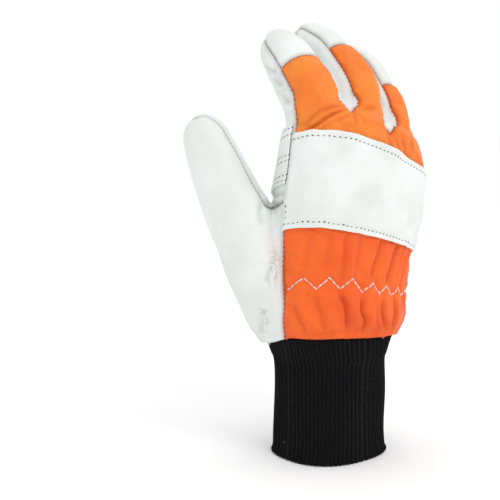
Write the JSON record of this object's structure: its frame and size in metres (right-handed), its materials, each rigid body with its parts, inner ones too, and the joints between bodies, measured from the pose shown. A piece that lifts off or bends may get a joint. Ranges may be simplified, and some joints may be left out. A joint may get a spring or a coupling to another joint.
{
  "type": "chainsaw work glove",
  "caption": "Right-hand work glove with a padded fabric back, a leather palm, thumb, fingertips and knuckle band, and a long rib-knit cuff, kept in the shape of a hand.",
  "frame": {"origin": "centre of the cuff's open end, where the wrist goes in", "axes": "+Z along the wrist towards the fingers, +X towards the little finger's side, -Y out of the back of the hand"},
  "size_m": [0.145, 0.0732, 0.245],
  "materials": {
    "leather": "matt white grain leather",
    "fabric": "plain-woven orange nylon over padding",
    "knit": "black rib knit"
  },
  "bodies": {
    "root": {"cuff": "knit", "back_fabric": "fabric", "palm_leather": "leather", "thumb_leather": "leather", "tip_index": "leather", "tip_middle": "leather", "tip_ring": "leather", "tip_little": "leather", "gusset_index_middle": "leather", "gusset_middle_ring": "leather", "gusset_ring_little": "leather", "knuckle_strap": "leather", "palm_patch": "leather"}
  },
  "joints": []
}
